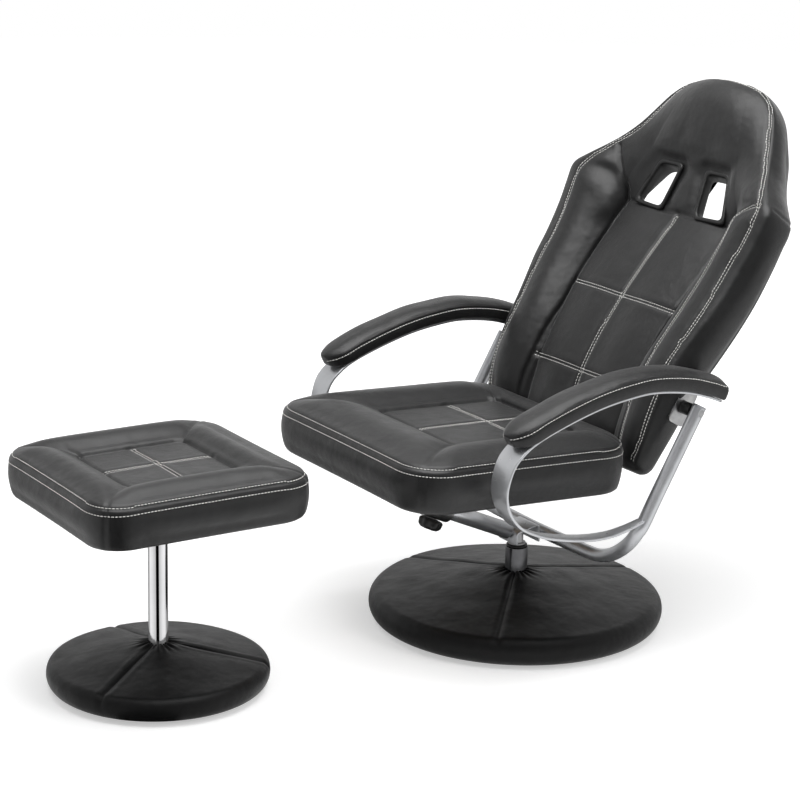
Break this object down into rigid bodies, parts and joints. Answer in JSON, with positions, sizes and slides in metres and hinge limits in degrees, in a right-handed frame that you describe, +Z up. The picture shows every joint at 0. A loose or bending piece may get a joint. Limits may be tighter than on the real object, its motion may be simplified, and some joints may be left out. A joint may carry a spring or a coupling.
{
  "type": "swivel recliner with footstool",
  "caption": "Reclining swivel armchair with a racing-style padded back, curved band arms and a low round base, with its matching square footstool.",
  "frame": {"origin": "on the swivel axis, at floor level under the chair's base", "axes": "+Z up, the chair faces -Y, and +X is the sitter's left"},
  "size_m": [0.691, 1.4438, 1.0043],
  "materials": {
    "black_leatherette": "fine-grained black leatherette with a soft sheen and off-white stitching",
    "plywood": "plain plywood, mostly hidden",
    "black_plastic": "moulded black, satin",
    "silver_paint": "silver-grey powder coat, satin",
    "zinc_steel": "zinc-plated steel, mostly hidden",
    "dark_chrome": "dark chrome plate",
    "chrome": "bright chrome plate"
  },
  "bodies": {
    "base": {"base_board": "plywood", "base_cover": "black_leatherette", "base_glide_1": "black_plastic", "base_glide_2": "black_plastic", "base_glide_3": "black_plastic", "base_glide_4": "black_plastic", "base_glide_5": "black_plastic", "column": "dark_chrome", "column_bolt_1": "zinc_steel", "column_bolt_2": "zinc_steel", "column_bolt_3": "zinc_steel", "column_bolt_4": "zinc_steel", "column_bush": "black_plastic"},
    "swivel": {"spindle": "zinc_steel", "swivel_bracket": "silver_paint", "frame_tube": "silver_paint", "arm_band_left": "silver_paint", "arm_band_right": "silver_paint", "arm_pad_left": "black_leatherette", "arm_pad_right": "black_leatherette", "seat_rail": "silver_paint", "rail_cap": "black_plastic", "pivot_bolt_left": "zinc_steel", "pivot_bolt_right": "zinc_steel", "pivot_spacer_left": "black_plastic", "pivot_spacer_right": "black_plastic"},
    "seat": {"seat_board": "plywood", "seat_cushion": "black_leatherette", "rail_clamp": "zinc_steel", "seat_link_left": "zinc_steel", "seat_link_right": "zinc_steel"},
    "knob": {"tension_knob": "black_plastic"},
    "back": {"back_board": "plywood", "back_cushion": "black_leatherette", "harness_ring_left": "black_plastic", "harness_ring_right": "black_plastic", "harness_trim_left": "black_plastic", "harness_trim_right": "black_plastic", "pivot_bracket_left": "zinc_steel", "pivot_bracket_right": "zinc_steel", "back_tab_left": "zinc_steel", "back_tab_right": "zinc_steel", "link_pin_left": "zinc_steel", "link_pin_right": "zinc_steel"},
    "stool": {"stool_board": "plywood", "stool_cover": "black_leatherette", "stool_glide_1": "black_plastic", "stool_glide_2": "black_plastic", "stool_glide_3": "black_plastic", "stool_glide_4": "black_plastic", "stool_pole": "chrome", "stool_plate": "zinc_steel", "stool_seat_board": "plywood", "stool_cushion": "black_leatherette"}
  },
  "joints": [
    {"name": "swivel_turn", "type": "hinge", "parent": "base", "child": "swivel", "pos_m": [0, 0, 0.146], "axis": [0, 0, 1], "continuous": true},
    {"name": "back_recline", "type": "hinge", "parent": "swivel", "child": "back", "pos_m": [0, 0.168, 0.463], "axis": [-1, 0, 0], "range_deg": [-11, 10]},
    {"name": "seat_slide", "type": "slide", "parent": "swivel", "child": "seat", "axis": [0, -0.9135, 0.4067], "range_m": [-0.0317, 0.029]},
    {"name": "knob_turn", "type": "hinge", "parent": "seat", "child": "knob", "pos_m": [0, -0.185, 0.25197], "axis": [0, -0.4067, -0.9135], "range_deg": [-360, 0]},
    {"name": "stool_move", "type": "slide", "parent": "base", "child": "stool", "axis": [0, -1, 0], "range_m": [0, 0.3]}
  ],
  "couplings": [
    {"joint": "seat_slide", "follows": "back_recline", "m_per_rad": 0.163}
  ]
}
